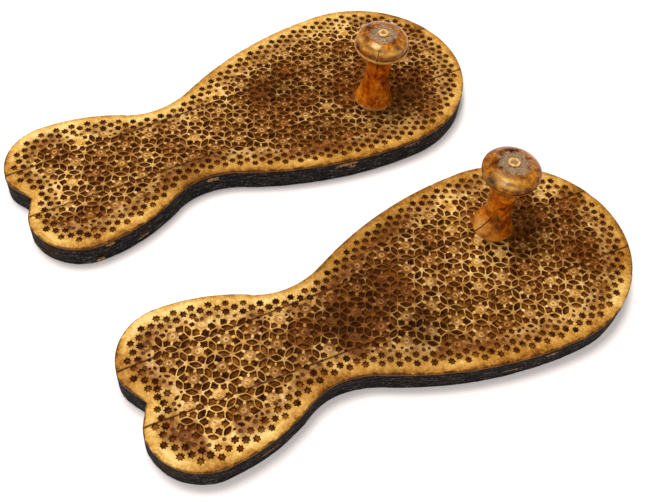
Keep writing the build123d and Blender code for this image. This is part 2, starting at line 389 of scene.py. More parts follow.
def star(centre, angle, dice, size=1.0):
    """A hole pierced with a pointed drill: a round of uneven points."""
    points = dice.choice((6, 7, 7, 8))
    size *= dice.uniform(0.92, 1.04)
    turn = angle + dice.uniform(-20, 20)
    shape = []
    for k in range(2 * points):
        radius = STAR_RADII[k % 2] * size * dice.uniform(0.93, 1.06)
        shape.append(ray(centre, radius, turn + k * 180 / points))
    return rounded(shape, 0.16)


def circle(centre, radius, count):
    return np.array([ray(centre, radius, 360 * k / count) for k in range(count)])


def grown(shape, by):
    middle = shape.mean(axis=0)
    away = shape - middle
    reach = np.linalg.norm(away, axis=1)[:, None]
    return middle + away * (1 + by / reach)


def seam_x(y, seam):
    return seam[0] + (seam[1] - seam[0]) * y / SANDAL_LENGTH


# ---------------------------------------------------------------- mesh tools

@functools.cache
def placed(side):
    """The matrix from a sandal's own frame, in metres, to the pair's."""
    sign = -1 if side == "left" else 1
    turn = Matrix.Rotation(math.radians(-sign * TOE_OUT), 4, "Z")
    back = Matrix.Translation((0, -SANDAL_LENGTH / 2 * MM, 0))
    low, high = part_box(f"{side}_toe_knob")
    knob = knob_place(side)
    at = turn @ back @ Vector((knob[0] * MM, knob[1] * MM, 0))
    middle = (low + high) / 2
    return Matrix.Translation((middle.x - at.x, middle.y - at.y, 0)) @ turn @ back


def add(name, data):
    thing = bpy.data.objects.new(name, data)
    bpy.context.scene.collection.objects.link(thing)
    return thing


def shade(mesh, values, angle):
    """Give a mesh values at its points, and smooth shading between its sharp edges."""
    for key, value in values.items():
        attribute = mesh.attributes.new(key, "FLOAT", "POINT")
        attribute.data.foreach_set("value", np.asarray(value, np.float32))
    mesh.polygons.foreach_set("use_smooth", [True] * len(mesh.polygons))
    mesh.set_sharp_from_angle(angle=math.radians(angle))


def mesh_of(name, vertices, faces):
    """A mesh in metres from vertices in millimetres."""
    mesh = bpy.data.meshes.new(name)
    mesh.from_pydata([tuple(v) for v in np.asarray(vertices, float) * MM], [], faces)
    return mesh


def make(name, vertices, faces, side, material, values, angle):
    """A mesh object from millimetres in the sandal's own frame."""
    mesh = mesh_of(name, vertices, faces)
    mesh.validate()
    shade(mesh, values, angle)
    mesh.materials.append(material)
    piece = add(name, mesh)
    piece.matrix_world = placed(side)
    return piece


def bands(start, sides, rings):
    """The faces between rings of vertices that follow one another from start."""
    return [(a + k, a + (k + 1) % sides, a + sides + (k + 1) % sides, a + sides + k)
            for a in range(start, start + (rings - 1) * sides, sides) for k in range(sides)]


def open_edges(triangles):
    """The edges that only one triangle has."""
    edges = {edge: True for a, b, c in triangles for edge in ((a, b), (b, c), (c, a))}
    return [(a, b) for a, b in edges if (b, a) not in edges]


def spot(x, y):
    """A key for a flat point, the same before and after a triangulation in single precision."""
    return round(float(np.float32(x)), 3), round(float(np.float32(y)), 3)


def slab(points, triangles, top, bottom):
    """A closed solid from a flat triangulation with a height for each point on top and below."""
    used = sorted({v for t in triangles for v in t})
    index = {v: i for i, v in enumerate(used)}
    n = len(used)
    vertices = [(*points[v], height[v]) for height in (top, bottom) for v in used]
    own = [tuple(index[v] for v in t) for t in triangles]
    faces = own + [(c + n, b + n, a + n) for a, b, c in own]
    faces += [(b, a, a + n, b + n) for a, b in open_edges(own)]
    return vertices, faces, used


# ---------------------------------------------------------------- overlay

# Dark and light regions of each sandal: x, y, reach across, reach along, strength. The dark
# regions are stains, and beside each knob a painted shadow that the knob casts.
STAINS_AND_SHADOWS = {
    "right": [(2, 98, 16, 15, 1.0), (18, 128, 14, 14, 1.0), (-6, 116, 26, 22, 0.7),
              (-12, 209, 15, 12, 1.0), (-40, 140, 12, 22, 0.5), (8, 220, 24, 14, 0.35),
              (26, 108, 8, 12, 0.4), (6, 80, 20, 16, 0.35)],
    "left": [(-12, 146, 12, 14, 0.9), (22, 209, 15, 11, 1.0), (6, 172, 30, 34, 0.4),
             (22, 78, 9, 24, 0.4), (24, 150, 12, 16, 0.5)],
}
GLEAMS = {
    "right": [(-10, 42, 26, 22, 0.9), (-37, 165, 9, 26, 0.8), (12, 60, 14, 20, 0.3),
              (4, 168, 12, 16, 0.5), (34, 186, 12, 18, 0.35), (-2, 190, 40, 40, 0.2)],
    "left": [(-14, 220, 26, 18, 0.5), (28, 172, 12, 14, 0.8), (2, 100, 16, 30, 0.45),
             (0, 12, 30, 10, 0.5)],
}
# Pale and brown stretches of each plain margin, in the same way
PALE_MARGINS = {
    "right": [(-36, 26, 14, 34, 0.85), (20, 5, 22, 8, 0.7), (35, 40, 6, 10, 0.7),
              (48, 222, 14, 14, 0.6)],
    "left": [(-50, 185, 9, 30, 0.4), (-36, 30, 12, 30, 0.8), (30, 240, 16, 10, 0.6),
             (-27, 100, 8, 24, 0.4), (15, 6, 20, 8, 0.5)],
}
BROWN_MARGINS = {
    "right": [(50, 180, 10, 26, 0.5), (-22, 5, 8, 5, 0.4), (26, 84, 8, 14, 0.5),
              (-46, 165, 12, 44, 0.7), (-10, 246, 26, 9, 0.4)],
    "left": [(50, 190, 10, 26, 0.4), (26, 84, 8, 20, 0.5), (-30, 235, 24, 12, 0.6)],
}

# A scraped hollow: the same numbers, with its depth as the strength
SCARS = {"left": [], "right": [(26.8, 113.5, 1.3, 4.4, 0.5)]}


def spread(points, regions):
    """How strongly each point lies in any of some soft oval regions."""
    total = np.zeros(len(points))
    for x, y, across, along, strength in regions:
        away = ((points[:, 0] - x) / across)**2 + ((points[:, 1] - y) / along)**2
        total = np.maximum(total, strength * np.exp(-away))
    return total


def nearest(points, places):
    """Each point's distance to the nearest place, and which place that is."""
    parts = [np.linalg.norm(points[start:start + CHUNK, None] - np.array(places)[None], axis=-1)
             for start in range(0, len(points), CHUNK)]
    return (np.concatenate([d.min(axis=1) for d in parts]),
            np.concatenate([d.argmin(axis=1) for d in parts]))


def cloud(points, size, seed, octaves=1):
    total = np.zeros(len(points))
    for k in range(octaves):
        scale = 2**k / size
        total += np.array([noise_at(x * scale, y * scale, seed + 9 * k) for x, y in points]) / 2**k
    return total


def to_sandal(side, world):
    """A point of the pair, in metres, in a sandal's own frame, in millimetres."""
    at = placed(side).inverted() @ Vector(world)
    return np.array([at.x, at.y]) / MM


def cad_pegs(side):
    """The centres of the solid model's pegs."""
    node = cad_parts[f"{side}_overlay_pegs"]
    found = []
    for vertex in node.data.vertices:
        at = to_sandal(side, node.matrix_world @ vertex.co)
        for cluster in found:
            if np.hypot(*(cluster[0] - at)) < 2.5:
                cluster.append(at)
                break
        else:
            found.append([at])
    return [(np.min(c, axis=0) + np.max(c, axis=0)) / 2 for c in found]


class Sheet:
    """Loops and points of a flat piece, gathered for one triangulation."""

    def __init__(self, outer):
        self.points, self.edges, self.faces = [], [], []
        self.add(outer, True)

    def add(self, loop, as_face):
        loop = np.array(loop)
        start = len(self.points)
        ahead = np.roll(loop, -1, axis=0)
        if (loop[:, 0] * ahead[:, 1] - loop[:, 1] * ahead[:, 0]).sum() < 0:
            loop = loop[::-1]
        self.points.extend(loop)
        ids = list(range(start, start + len(loop)))
        if as_face:
            self.faces.append(ids)
        else:
            self.edges.extend(zip(ids, ids[1:] + ids[:1]))

    def mesh(self):
        """Points and triangles inside the first face and outside the others."""
        out = delaunay_2d_cdt([Vector(p) for p in self.points], self.edges, self.faces,
                              1, 1e-5, True)
        flat, triangles, origin = np.array([tuple(v) for v in out[0]]), out[2], out[5]
        kept = [tuple(t) for t, of in zip(triangles, origin)
                if 0 in of and not any(k > 0 for k in of)]
        a, b, c = (flat[[t[k] for t in kept]] for k in range(3))
        turn = ((b[:, 0] - a[:, 0]) * (c[:, 1] - a[:, 1])
                - (b[:, 1] - a[:, 1]) * (c[:, 0] - a[:, 0]))
        return flat, [t if w > 0 else t[::-1] for t, w in zip(kept, turn) if abs(w) > 1e-7]


# Circles drawn round each boss and each dot, so that their relief has points to stand on
BOSS_CIRCLES = ((0.52, 10), (0.66, 10), (1.32, 16), (1.5, 16), (2.35, 18), (2.55, 18))
DOT_CIRCLES = (1.0, 0.82, 0.4)
RIM_INSETS = (0.75, 1.3, 2.2)
POINT_STEP, POINT_STRAY = 2.2, 0.6
# Height against distance: from a boss's middle, from a dot's middle and from the sole's edge
BOSS_RELIEF = ([0, 0.51, 0.67, 1.31, 1.51, 2.34, 2.56, 9], [-0.5, -0.5, 0, 0, -0.45, -0.45, 0, 0])
DOT_RELIEF = ([0, 0.41, 0.83, 1.0], [-0.6, -0.55, -0.4, 0])
RIM_RELIEF = ([OVERLAY_INSET + 0.05, 0.75, 1.3, 2.2], [-0.42, -0.16, -0.05, 0])
LOWEST, HIGHEST = -1.3, -0.005
# How bright the bone is rubbed, against distance from a boss's middle
BOSS_WEAR = ([0, 0.5, 0.68, 1.3, 1.52, 2.35, 2.6, 3.0, 4.1, 4.5, 4.8, 7.5],
             [0.2, 0.2, 1.25, 1.25, 0.3, 0.3, 0.5, 1.3, 1.3, 0.9, 0.8, 0.9])
BORDER_WEAR, DOT_WEAR, CUT_WEAR = 0.55, -0.4, -0.15


def overlay_sheet(side, holes, bosses, dots, pegs, dice):
    """The facing as one flat triangulation, with points wherever its relief bends."""
    sheet = Sheet(sole_outline(OVERLAY_INSET))
    for shape in holes + [circle(knob_place(side), TENON_RADIUS + FIT, TENON_SIDES)]:
        sheet.add(shape, True)
    for peg in pegs:
        sheet.add(circle(peg, PEG_RADIUS + FIT, PEG_SIDES), True)
    for seam in SEAMS:
        ys = np.arange(-3, 254, 2.0)
        xs = np.array([seam_x(y, seam) + 0.12 * noise_at(y / 9, seam[0], 0) for y in ys])
        sheet.add(np.vstack([np.column_stack([xs + SEAM_GAP / 2, ys]),
                             np.column_stack([xs - SEAM_GAP / 2, ys])[::-1]]), True)
    loops = [sole_outline(inset) for inset in RIM_INSETS] + [grown(shape, 0.12) for shape in holes]
    loops += [circle(dot, radius, 12) for dot in dots for radius in DOT_CIRCLES]
    loops += [circle(at, radius, count) for at, _ in bosses for radius, count in BOSS_CIRCLES]
    for loop in loops:
        sheet.add(loop, False)
    grid = np.array([(x, y) for x in np.arange(-52, 53, POINT_STEP)
                     for y in np.arange(1, 250, POINT_STEP)])
    grid = grid + np.array([[dice.uniform(-POINT_STRAY, POINT_STRAY) for _ in "xy"] for _ in grid])
    sheet.points.extend(grid[depth_inside(grid) > 2.4])
    return sheet.mesh()


def overlay(side, pegs, material):
    """The pierced bone in its three strips, with its relief and its signs of wear."""
    dice = random.Random(11 if side == "left" else 23)
    stars, dots = border()
    knob = knob_place(side)
    stars = [(warp(at, side), angle) for at, angle in stars if apart(knob, at) > KNOB_LAND]
    dots = [warp(d, side) for d in dots if apart(knob, d) > KNOB_LAND and apart(pegs, d) > 2]
    holes, bosses = net(side, dots + pegs, stars, dice)
    holes += [star(at, angle, dice) for at, angle in stars]
    flat, kept = overlay_sheet(side, holes, bosses, dots, pegs, dice)

    depth = np.maximum(depth_inside(flat), 0)
    gap, cell = nearest(flat, [b[0] for b in bosses])
    tone = np.array([b[1] for b in bosses])[cell]
    dot_gap, _ = nearest(flat, dots)
    on_edge = np.zeros(len(flat), bool)
    on_edge[[v for edge in open_edges(kept) for v in edge]] = True

    rub = cloud(flat, 3.5, 2.0, 2)
    height = np.minimum(np.interp(gap, *BOSS_RELIEF), np.interp(dot_gap, *DOT_RELIEF))
    height += -0.10 + 0.07 * cloud(flat, 18, 7.0) + 0.02 * rub
    height = np.where(on_edge, height - 0.1 - 0.05 * rub, height)
    height += np.interp(depth, *RIM_RELIEF)
    chip = np.clip(cloud(flat, 6, 31.0, 2) - 0.25, 0, 1) * np.clip(1 - depth / 1.6, 0, 1)
    height -= 1.2 * chip
    height -= spread(flat, SCARS[side])
    height = np.clip(height, LOWEST, HIGHEST)

    wear = np.interp(gap, *BOSS_WEAR)
    wear = np.where(depth < FIELD_DEPTH - 2.0, BORDER_WEAR, wear)
    wear = np.where(dot_gap < 0.9, DOT_WEAR, wear)
    wear = np.where(on_edge & (depth > 1), wear + CUT_WEAR, wear)
    seam_gap = np.minimum(*[np.abs(flat[:, 0] - seam_x(flat[:, 1], seam)) for seam in SEAMS])
    values = {"wear": wear, "cell": tone, "stain_and_shade": spread(flat, STAINS_AND_SHADOWS[side]),
              "gleam": spread(flat, GLEAMS[side]), "depth": depth, "seam": seam_gap,
              "dot": dot_gap,
              "sun": spread(flat, PALE_MARGINS[side]) - spread(flat, BROWN_MARGINS[side])}

    middle = sum(flat[[t[k] for t in kept]] for k in range(3)) / 3
    which = sum((middle[:, 0] > seam_x(middle[:, 1], seam)).astype(int) for seam in SEAMS)
    names = ["outer", "middle", "inner"] if side == "left" else ["inner", "middle", "outer"]
    for k, name in enumerate(names):
        own = [t for t, w in zip(kept, which) if w == k]
        vertices, solid, used = slab(flat, own, SOLE_TOP + height, np.full(len(flat), BOARD_TOP))
        own_values = {key: np.tile(v[used], 2) for key, v in values.items()}
        own_values["low"] = np.repeat([0.0, 1.0], len(used))
        piece = make(f"{side}_overlay_{name}", vertices, solid, side, material, own_values, 40)
        dress(piece, side, f"{side}_overlay_{name}_strip")


def dress(piece, side, node):
    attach(piece, f"{side}_sandal")
    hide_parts(node)


# ---------------------------------------------------------------- board and pegs

# Chips of each board's side: x, y, height, reach along, reach up, depth
CHIPS = {
    "left": [(25, 89, 9.5, 3.2, 1.2, 0.5), (48.5, 153.5, 9.6, 6.0, 1.1, 0.7),
             (48, 157, 7.4, 2.6, 0.6, 0.4), (50.5, 190, 10.4, 5.0, 0.5, 0.4),
             (41, 29, 10.2, 2.2, 1.0, 0.6), (44, 24, 1.8, 2.6, 1.0, 0.7),
             (38, 47, 3.5, 4.0, 0.5, 0.4)],
    "right": [(-41, 26, 4.0, 4.0, 1.0, 0.5), (35, 44, 5.0, 5.0, 0.6, 0.4),
              (49, 160, 4.6, 5.0, 0.5, 0.4), (52, 178, 8.6, 3.0, 0.5, 0.35),
              (-30, 120, 8.0, 4.0, 1.0, 0.5)],
}
SIDE_LEVELS = (0, 0.25, 0.55, 0.9, 1.6, 2.4, 3.2, 4.0, 4.8, 5.6, 6.4, 7.2, 8.0, 8.8, 9.6, 10.3,
               10.9, 11.35, 11.65, 11.8)
SIDE_COLUMNS = 860
# How far the side draws in towards the board's foot and top, against height
ROUNDING = ([0, 0.9, 11.2, 11.65, 11.8], [0.85, 0, 0, 0.1, 0.28])


def board_side(side, seed):
    """The hewn and chipped side as rings of points, with where it is bare and the run along it."""
    points, along, length = resample(sole_outline(0.0, 0.5), SIDE_COLUMNS)
    outward = np.column_stack([-along[:, 1], along[:, 0]])
    run = np.arange(len(points)) / len(points) * length
    rings, fresh = [], []
    for z in SIDE_LEVELS:
        hewn, fine, broad = (
            np.array([noise_at(r / wide, z / tall, seed + more) for r in run])
            for wide, tall, more in ((9, 1.6, 0), (2.2, 0.9, 5), (30, 14, 9)))
        dent = 0.34 + 0.2 * hewn + 0.12 * fine + 0.12 * broad + np.interp(z, *ROUNDING)
        bare = np.zeros(len(points))
        for x, y, up, reach, tall, deep in CHIPS[side]:
            middle = run[np.hypot(*(points - (x, y)).T).argmin()]
            ragged = np.hypot((run - middle) / reach, (z - up) / tall) + 0.5 * fine + 0.3 * hewn
            dent += deep * np.clip(1.3 - ragged, 0, 1)
            bare = np.maximum(bare, np.clip(1.5 - ragged, 0, 1))
        rings.append(points - outward * np.maximum(dent, 0.02)[:, None])
        fresh.append(bare)
    return rings, fresh, run


def board(side, pegs, material):
    """The wooden sole, with the holes for the tenon and the pegs."""
    seed = 4.0 if side == "left" else 40.0
    rings, fresh, run = board_side(side, seed)
    vertices = [(x, y, z) for ring, z in zip(rings, SIDE_LEVELS) for x, y in ring]
    faces = [face[::-1] for face in bands(0, SIDE_COLUMNS, len(SIDE_LEVELS))]
    bare = list(np.concatenate(fresh))
    grain = [r for _ in SIDE_LEVELS for r in run]
    knob = knob_place(side)
    pits = [(peg, PEG_RADIUS + FIT, PEG_SIDES, PEG_BOTTOM - 0.3) for peg in pegs]
    through = (knob, TENON_RADIUS + FIT, TENON_SIDES, None)

    def cap(ring, level_start, holes, height_of, up):
        """A flat end of the board, joined to the side's ring and to the holes' first rings."""
        sheet = Sheet(ring)
        for centre, radius, sides, _ in holes:
            sheet.add(circle(centre, radius, sides), True)
        grid = np.array([(x, y) for x in np.arange(-51, 52, BOARD_POINT_STEP)
                         for y in np.arange(2, SANDAL_LENGTH, BOARD_POINT_STEP)])
        sheet.points.extend(g for g, depth in zip(grid, depth_inside(grid)) if depth > 2
                            and all(apart(h[0], g) > h[1] + 0.8 for h in holes))
        flat, kept = sheet.mesh()
        lookup = {spot(x, y): level_start + i for i, (x, y) in enumerate(ring)}
        index = []
        for x, y in flat:
            key = spot(x, y)
            if key not in lookup:
                lookup[key] = len(vertices)
                vertices.append((x, y, height_of(x, y)))
                bare.append(0.0)
                grain.append(x)
            index.append(lookup[key])
        faces.extend(tuple(index[v] for v in (t if up else t[::-1])) for t in kept)
        return lookup

    def hollow(x, y):
        """The worn hollows of the underside."""
        if apart(knob, (x, y)) < TENON_RADIUS + 0.5:
            return 0.0
        return 0.16 * max(0.0, 0.4 + noise_at(x / 14, y / 14, seed)
                          + 0.4 * noise_at(x / 4, y / 4, seed))

    top_start = (len(SIDE_LEVELS) - 1) * SIDE_COLUMNS
    top = cap(rings[-1], top_start, pits + [through], lambda x, y: BOARD_TOP, True)
    under = cap(rings[0], 0, [through], hollow, False)
    for centre, radius, sides, floor_height in pits + [through]:
        loop = circle(centre, radius, sides)
        upper = [top[spot(x, y)] for x, y in loop]
        if floor_height is None:
            lower = [under[spot(x, y)] for x, y in loop]
        else:
            lower = list(range(len(vertices), len(vertices) + sides))
            vertices.extend((x, y, floor_height) for x, y in loop)
            bare.extend([0.0] * sides)
            grain.extend(loop[:, 0])
            faces.append(tuple(lower))
        faces += [(upper[(k + 1) % sides], upper[k], lower[k], lower[(k + 1) % sides])
                  for k in range(sides)]
    where = np.array(vertices)
    values = {"bare": bare, "run": grain, "up": where[:, 2],
              "lid": (where[:, 2] > BOARD_TOP - 0.1).astype(float),
              "stain_and_shade": spread(where[:, :2], STAINS_AND_SHADOWS[side])}
    piece = make(f"{side}_board", vertices, faces, side, material, values, 50)
    dress(piece, side, f"{side}_sole_board")


def turned(profile, sides, dent=lambda angle, radius, z: 0):
    """A lathe-turned solid from a half profile whose two ends lie on the axis."""
    vertices = [(0, 0, profile[0][1])]
    for radius, z in profile[1:-1]:
        for k in range(sides):
            angle = 360 * k / sides
            vertices.append((*ray((0, 0), radius - dent(angle, radius, z), angle), z))
    vertices.append((0, 0, profile[-1][1]))
    last = len(vertices) - 1
    faces = []
    for k in range(sides):
        after = (k + 1) % sides
        faces.append((0, 1 + after, 1 + k))
        for a in range(1, last - sides, sides):
            faces.append((a + k, a + after, a + sides + after, a + sides + k))
        faces.append((last - sides + k, last - sides + after, last))
    return np.array(vertices, float), faces


def pegs_of(side, pegs, material):
    """The round pegs, a little sunk and dished, with rubbed ends."""
    dice = random.Random(3 if side == "left" else 5)
    vertices, faces = np.empty((0, 3)), []
    for peg in pegs:
        top = SOLE_TOP - dice.uniform(0.15, 0.4)
        own, own_faces = turned(
            [(0, PEG_BOTTOM), (0.85, PEG_BOTTOM), (PEG_RADIUS, PEG_BOTTOM + 0.15),
             (PEG_RADIUS, top - 0.16), (0.88, top), (0.45, top - 0.06), (0, top - 0.1)], PEG_SIDES)
        worn = own[1 + PEG_SIDES:-1]
        worn[:, 2] += [dice.uniform(-0.03, 0.03) * (z > BOARD_TOP) for z in worn[:, 2]]
        faces += [tuple(len(vertices) + v for v in face) for face in own_faces]
        vertices = np.vstack([vertices, own + (*peg, 0)])
    piece = make(f"{side}_pegs", vertices, faces, side, material, {}, 40)
    dress(piece, side, f"{side}_overlay_pegs")


# ---------------------------------------------------------------- knobs

# Half profiles from the foot up, as radius and height above the bone
KNOB_PROFILES = {
    "left": [(9.9, 0.0), (10.05, 0.35), (10.05, 0.9), (9.4, 3.3), (8.25, 6.6), (7.35, 10.5),
             (6.65, 15), (6.3, 19), (6.55, 25), (7.5, 30.5), (9.4, 33.7), (12.2, 35.3),
             (13.5, 35.95), (13.78, 36.6), (13.74, 37.1), (13.4, 37.5), (13.02, 37.62),
             (13.05, 37.9), (13.2, 38.6), (13.2, 39.6), (12.75, 41.2), (11.2, 42.6),
             (9.4, 43.55), (8.2, 44.05), (7.75, 44.15)],
    "right": [(9.9, 0.0), (10.05, 0.35), (10.05, 0.9), (9.45, 3.6), (8.3, 7.2), (6.95, 11),
              (6.2, 15.5), (6.35, 20), (6.85, 25), (7.7, 31), (9.4, 35.0), (12.0, 37.2),
              (13.2, 37.85), (13.4, 38.2), (13.35, 38.5), (13.08, 38.62), (13.15, 38.85),
              (13.6, 39.6), (13.78, 40.4), (13.5, 41.7), (12.6, 42.8), (11.0, 44.1),
              (9.5, 45.15), (8.8, 45.5)],
}
DISC_RADII = {"left": 7.6, "right": 8.6}
CROWNS = {"left": 44.2, "right": 45.6}
DISC_DROP = 0.25
# Azimuth, in degrees, of the side of each knob that faces the camera
FACING = {"left": -35.5, "right": -52.0}
KNOB_SIDES, BUTTON_SIDES = 150, 56


def smooth_line(points, step):
    """A curve through points, sampled about every step."""
    points = np.array(points, float)
    padded = np.vstack([2 * points[0] - points[1], points, 2 * points[-1] - points[-2]])
    line = []
    for a, b, c, d in zip(padded, padded[1:], padded[2:], padded[3:]):
        count = max(1, round(np.linalg.norm(c - b) / step))
        for t in np.arange(count) / count:
            line.append(0.5 * (2 * b + (c - a) * t + (2 * a - 5 * b + 4 * c - d) * t**2
                               + (3 * b - a - 3 * c + d) * t**3))
    line.append(points[-1])
    return np.array(line)


def carved(piece, cutter_vertices, cutter_faces):
    """Cut a closed shape out of a piece, exactly."""
    tool = add("cutter", mesh_of("cutter", cutter_vertices, cutter_faces))
    tool.matrix_world = piece.matrix_world
    cut = piece.modifiers.new("cut", "BOOLEAN")
    cut.operation, cut.solver, cut.object = "DIFFERENCE", "EXACT", tool
    seen = piece.evaluated_get(bpy.context.evaluated_depsgraph_get())
    result = bpy.data.meshes.new_from_object(seen)
    piece.modifiers.remove(cut)
    piece.data = result
    bpy.data.objects.remove(tool)


def off_azimuth(angles, middle):
    return (angles - middle + 180) % 360 - 180


def knob_foot(side):
    """The middle of a knob's foot, on the bone."""
    return np.array([*knob_place(side), SOLE_TOP])


def knob(side, material):
    """The knob with its tenon, turned a little unevenly, with the wedge's saw cut."""
    x, y, _ = at = knob_foot(side)
    crown, disc = CROWNS[side], DISC_RADII[side]
    seed = 1.0 if side == "left" else 6.0
    surface = crown - DISC_DROP
    lid = [(disc + 0.15, crown - 0.06), (disc, surface)]
    lid += [(r, surface - 0.03) for r in np.arange(disc - 0.35, 3.2, -0.35)]
    lid += [(2.5, surface), (BORE[0], surface), (BORE[0], crown - BORE[1])]
    base = TENON_END - SOLE_TOP
    line = [(0, base), (TENON_RADIUS, base), (TENON_RADIUS, 0)]
    line += [*smooth_line(KNOB_PROFILES[side], 0.32), *lid, (0, crown - BORE[1])]

    def dent(angle, radius, z):
        if z < 0 or z > crown - 0.05 or radius < 2:
            return 0.0
        c, s = math.cos(math.radians(angle)), math.sin(math.radians(angle))
        soft, fine = (noise_at(c * radius / wide, s * radius / wide, z / wide + seed)
                      for wide in (9, 1.6))
        amount = 0.10 + 0.08 * soft + 0.035 * fine
        if side == "right" and 2 < z < 16:
            lean = math.sin(math.pi * (z - 2) / 14)
            amount += 0.42 * lean * (1 + math.cos(math.radians(angle - FACING[side] - 80))) / 2
        if z < 1.5:
            chip = noise_at(c * 4, s * 4, seed + 3)
            amount += 0.5 * max(0.0, chip - 0.1) * (1.5 - z)
        return max(amount, 0.0)

    vertices, faces = turned(line, KNOB_SIDES, dent)
    piece = make(f"{side}_knob", vertices + at, faces, side, material, {}, 50)
    half, low, high = KERF[0] / 2, TENON_END - 1, TENON_END + KERF[1]
    box = [(x + across, y + along, z)
           for across in (-half, half) for along in (-8, 8) for z in (low, high)]
    carved(piece, box, [(0, 1, 3, 2), (4, 6, 7, 5), (0, 4, 5, 1), (2, 3, 7, 6), (0, 2, 6, 4),
                        (1, 5, 7, 3)])
    paint_knob(piece, side)
    dress(piece, side, f"{side}_toe_knob")


# Marks on each knob: azimuth from its facing side, height, reach round, reach up, strength
# The dark marks are stains, and painted shade under each head and down the neck's shaded right
# side.
KNOB_STAINS_AND_SHADE = {
    "left": [(0, 32.0, 80, 3.6, 0.8), (30, 8, 25, 3, 0.35), (-70, 39.5, 16, 1.6, 0.6),
             (45, 39.5, 20, 1.2, 0.6), (8, 38.6, 60, 0.7, 0.5), (75, 16, 30, 14, 0.5),
             (-30, 42.4, 26, 0.8, 0.6), (60, 42.2, 34, 0.9, 0.5)],
    "right": [(12, 12.5, 26, 3.6, 1.0), (28, 8.0, 26, 3.4, 0.9), (6, 3.6, 12, 2.0, 0.6),
              (0, 33.5, 90, 3.4, 0.8), (-27, 41.6, 13, 1.6, 0.9), (-72, 42.0, 36, 2.4, 0.75),
              (62, 41.0, 30, 2.2, 0.7), (-8, 39.4, 18, 0.5, 0.4), (20, 43.6, 40, 0.7, 0.5),
              (75, 18, 30, 14, 0.55)],
}
# The lighter marks are partly rubbed bone at the feet, and partly painted highlight on the lit
# front of each dome.
KNOB_PALES_AND_HIGHLIGHTS = {
    "left": [(0, 0.2, 170, 1.6, 0.9), (-18, 43.0, 20, 0.7, 1.0), (30, 41.4, 30, 1.2, 0.8),
             (-70, 42.2, 18, 1.0, 0.6), (0, 41.8, 120, 1.3, 0.45)],
    "right": [(0, 44.4, 34, 0.8, 1.0), (8, 42.8, 30, 1.0, 0.7), (0, 0.3, 170, 1.4, 0.5),
              (-35, 5, 34, 4.5, 0.85)],
}
# A painted reflection of a dark thing: the bluish glint on the right knob's dark crown, in the
# same way
DARK_REFLECTIONS = {"left": [], "right": [(-25, 42.0, 12, 1.5, 1.0)]}
# Height, reach up and strength of the turned groove under the dome and of the rim's bead
GROOVES = {"left": (37.64, 0.17, 1.0), "right": (38.64, 0.12, 1.0)}
BEADS = {"left": (36.8, 0.75, 1.0), "right": (38.25, 0.35, 0.6)}
# Each crack's azimuths against height, the heights it runs between, its waver and its thinness
CRACKS = {"left": (([0, 1], [-7, -7]), (26, 42.8), 2.2, 1.0),
          "right": (([0.5, 13], [-40, -9]), (0.3, 13.5), 1.5, 1.1)}
NO_CRACK = 9


def paint_knob(piece, side):
    """Marks on a knob: the bare disc, cracks, stains and painted shade, rubbed edges and painted
    highlights, and a painted reflection, as values at its points.
    """
    mesh = piece.data
    flat = np.empty(len(mesh.vertices) * 3, np.float32)
    mesh.vertices.foreach_get("co", flat)
    where = flat.reshape(-1, 3) / MM - knob_foot(side)
    radius, z = np.hypot(where[:, 0], where[:, 1]), where[:, 2]
    off = off_azimuth(np.degrees(np.arctan2(where[:, 1], where[:, 0])), FACING[side])
    wander = np.array([noise_at(*(point / 3)) for point in where])
    bare = np.where(z > CROWNS[side] - 4,
                    np.clip(0.5 + (DISC_RADII[side] - 0.7 - radius) / 3.0, -0.8, 1.5), -0.8)
    path, (low, high), waver, thin = CRACKS[side]
    crack = np.abs(off - np.interp(z, *path) - waver * wander) * np.pi / 180 * radius * thin
    crack = np.where((z > low) & (z < high), crack, NO_CRACK)

    def marks(places):
        total = np.zeros(len(z))
        for azimuth, height, turn, tall, strength in places:
            away = (off_azimuth(off, azimuth) / turn)**2 + ((z - height) / tall)**2
            total = np.maximum(total, strength * np.exp(-away))
        return total

    def line(height, reach, strength):
        return strength * np.exp(-((z - height) / reach)**2)

    shade(mesh, {"disc": bare, "crack": crack, "stain_and_shade": marks(KNOB_STAINS_AND_SHADE[side]),
                 "pale_and_highlight": marks(KNOB_PALES_AND_HIGHLIGHTS[side]), "groove": line(*GROOVES[side]),
                 "bead": line(*BEADS[side]), "dark_reflection": marks(DARK_REFLECTIONS[side]), "up": z}, 50)


# Half profiles of the buttons, as radius and height above the bare disc
BUTTONS = {
    "left": [(1.42, 0.02), (2.55, 0.02), (2.78, 0.2), (2.8, 0.7), (2.6, 1.1), (2.2, 1.3),
             (1.75, 1.3), (1.3, 1.1), (1.1, 0.75), (1.0, 0.55), (0.5, 0.5)],
    "right": [(1.42, 0.02), (2.6, 0.02), (2.82, 0.2), (2.84, 0.6), (2.68, 0.95), (2.4, 1.1),
              (2.1, 1.08), (1.7, 0.85), (1.4, 0.78), (0.9, 0.85), (0.4, 0.9)],
}
PIT_RADII = {"left": 1.15, "right": 1.7}


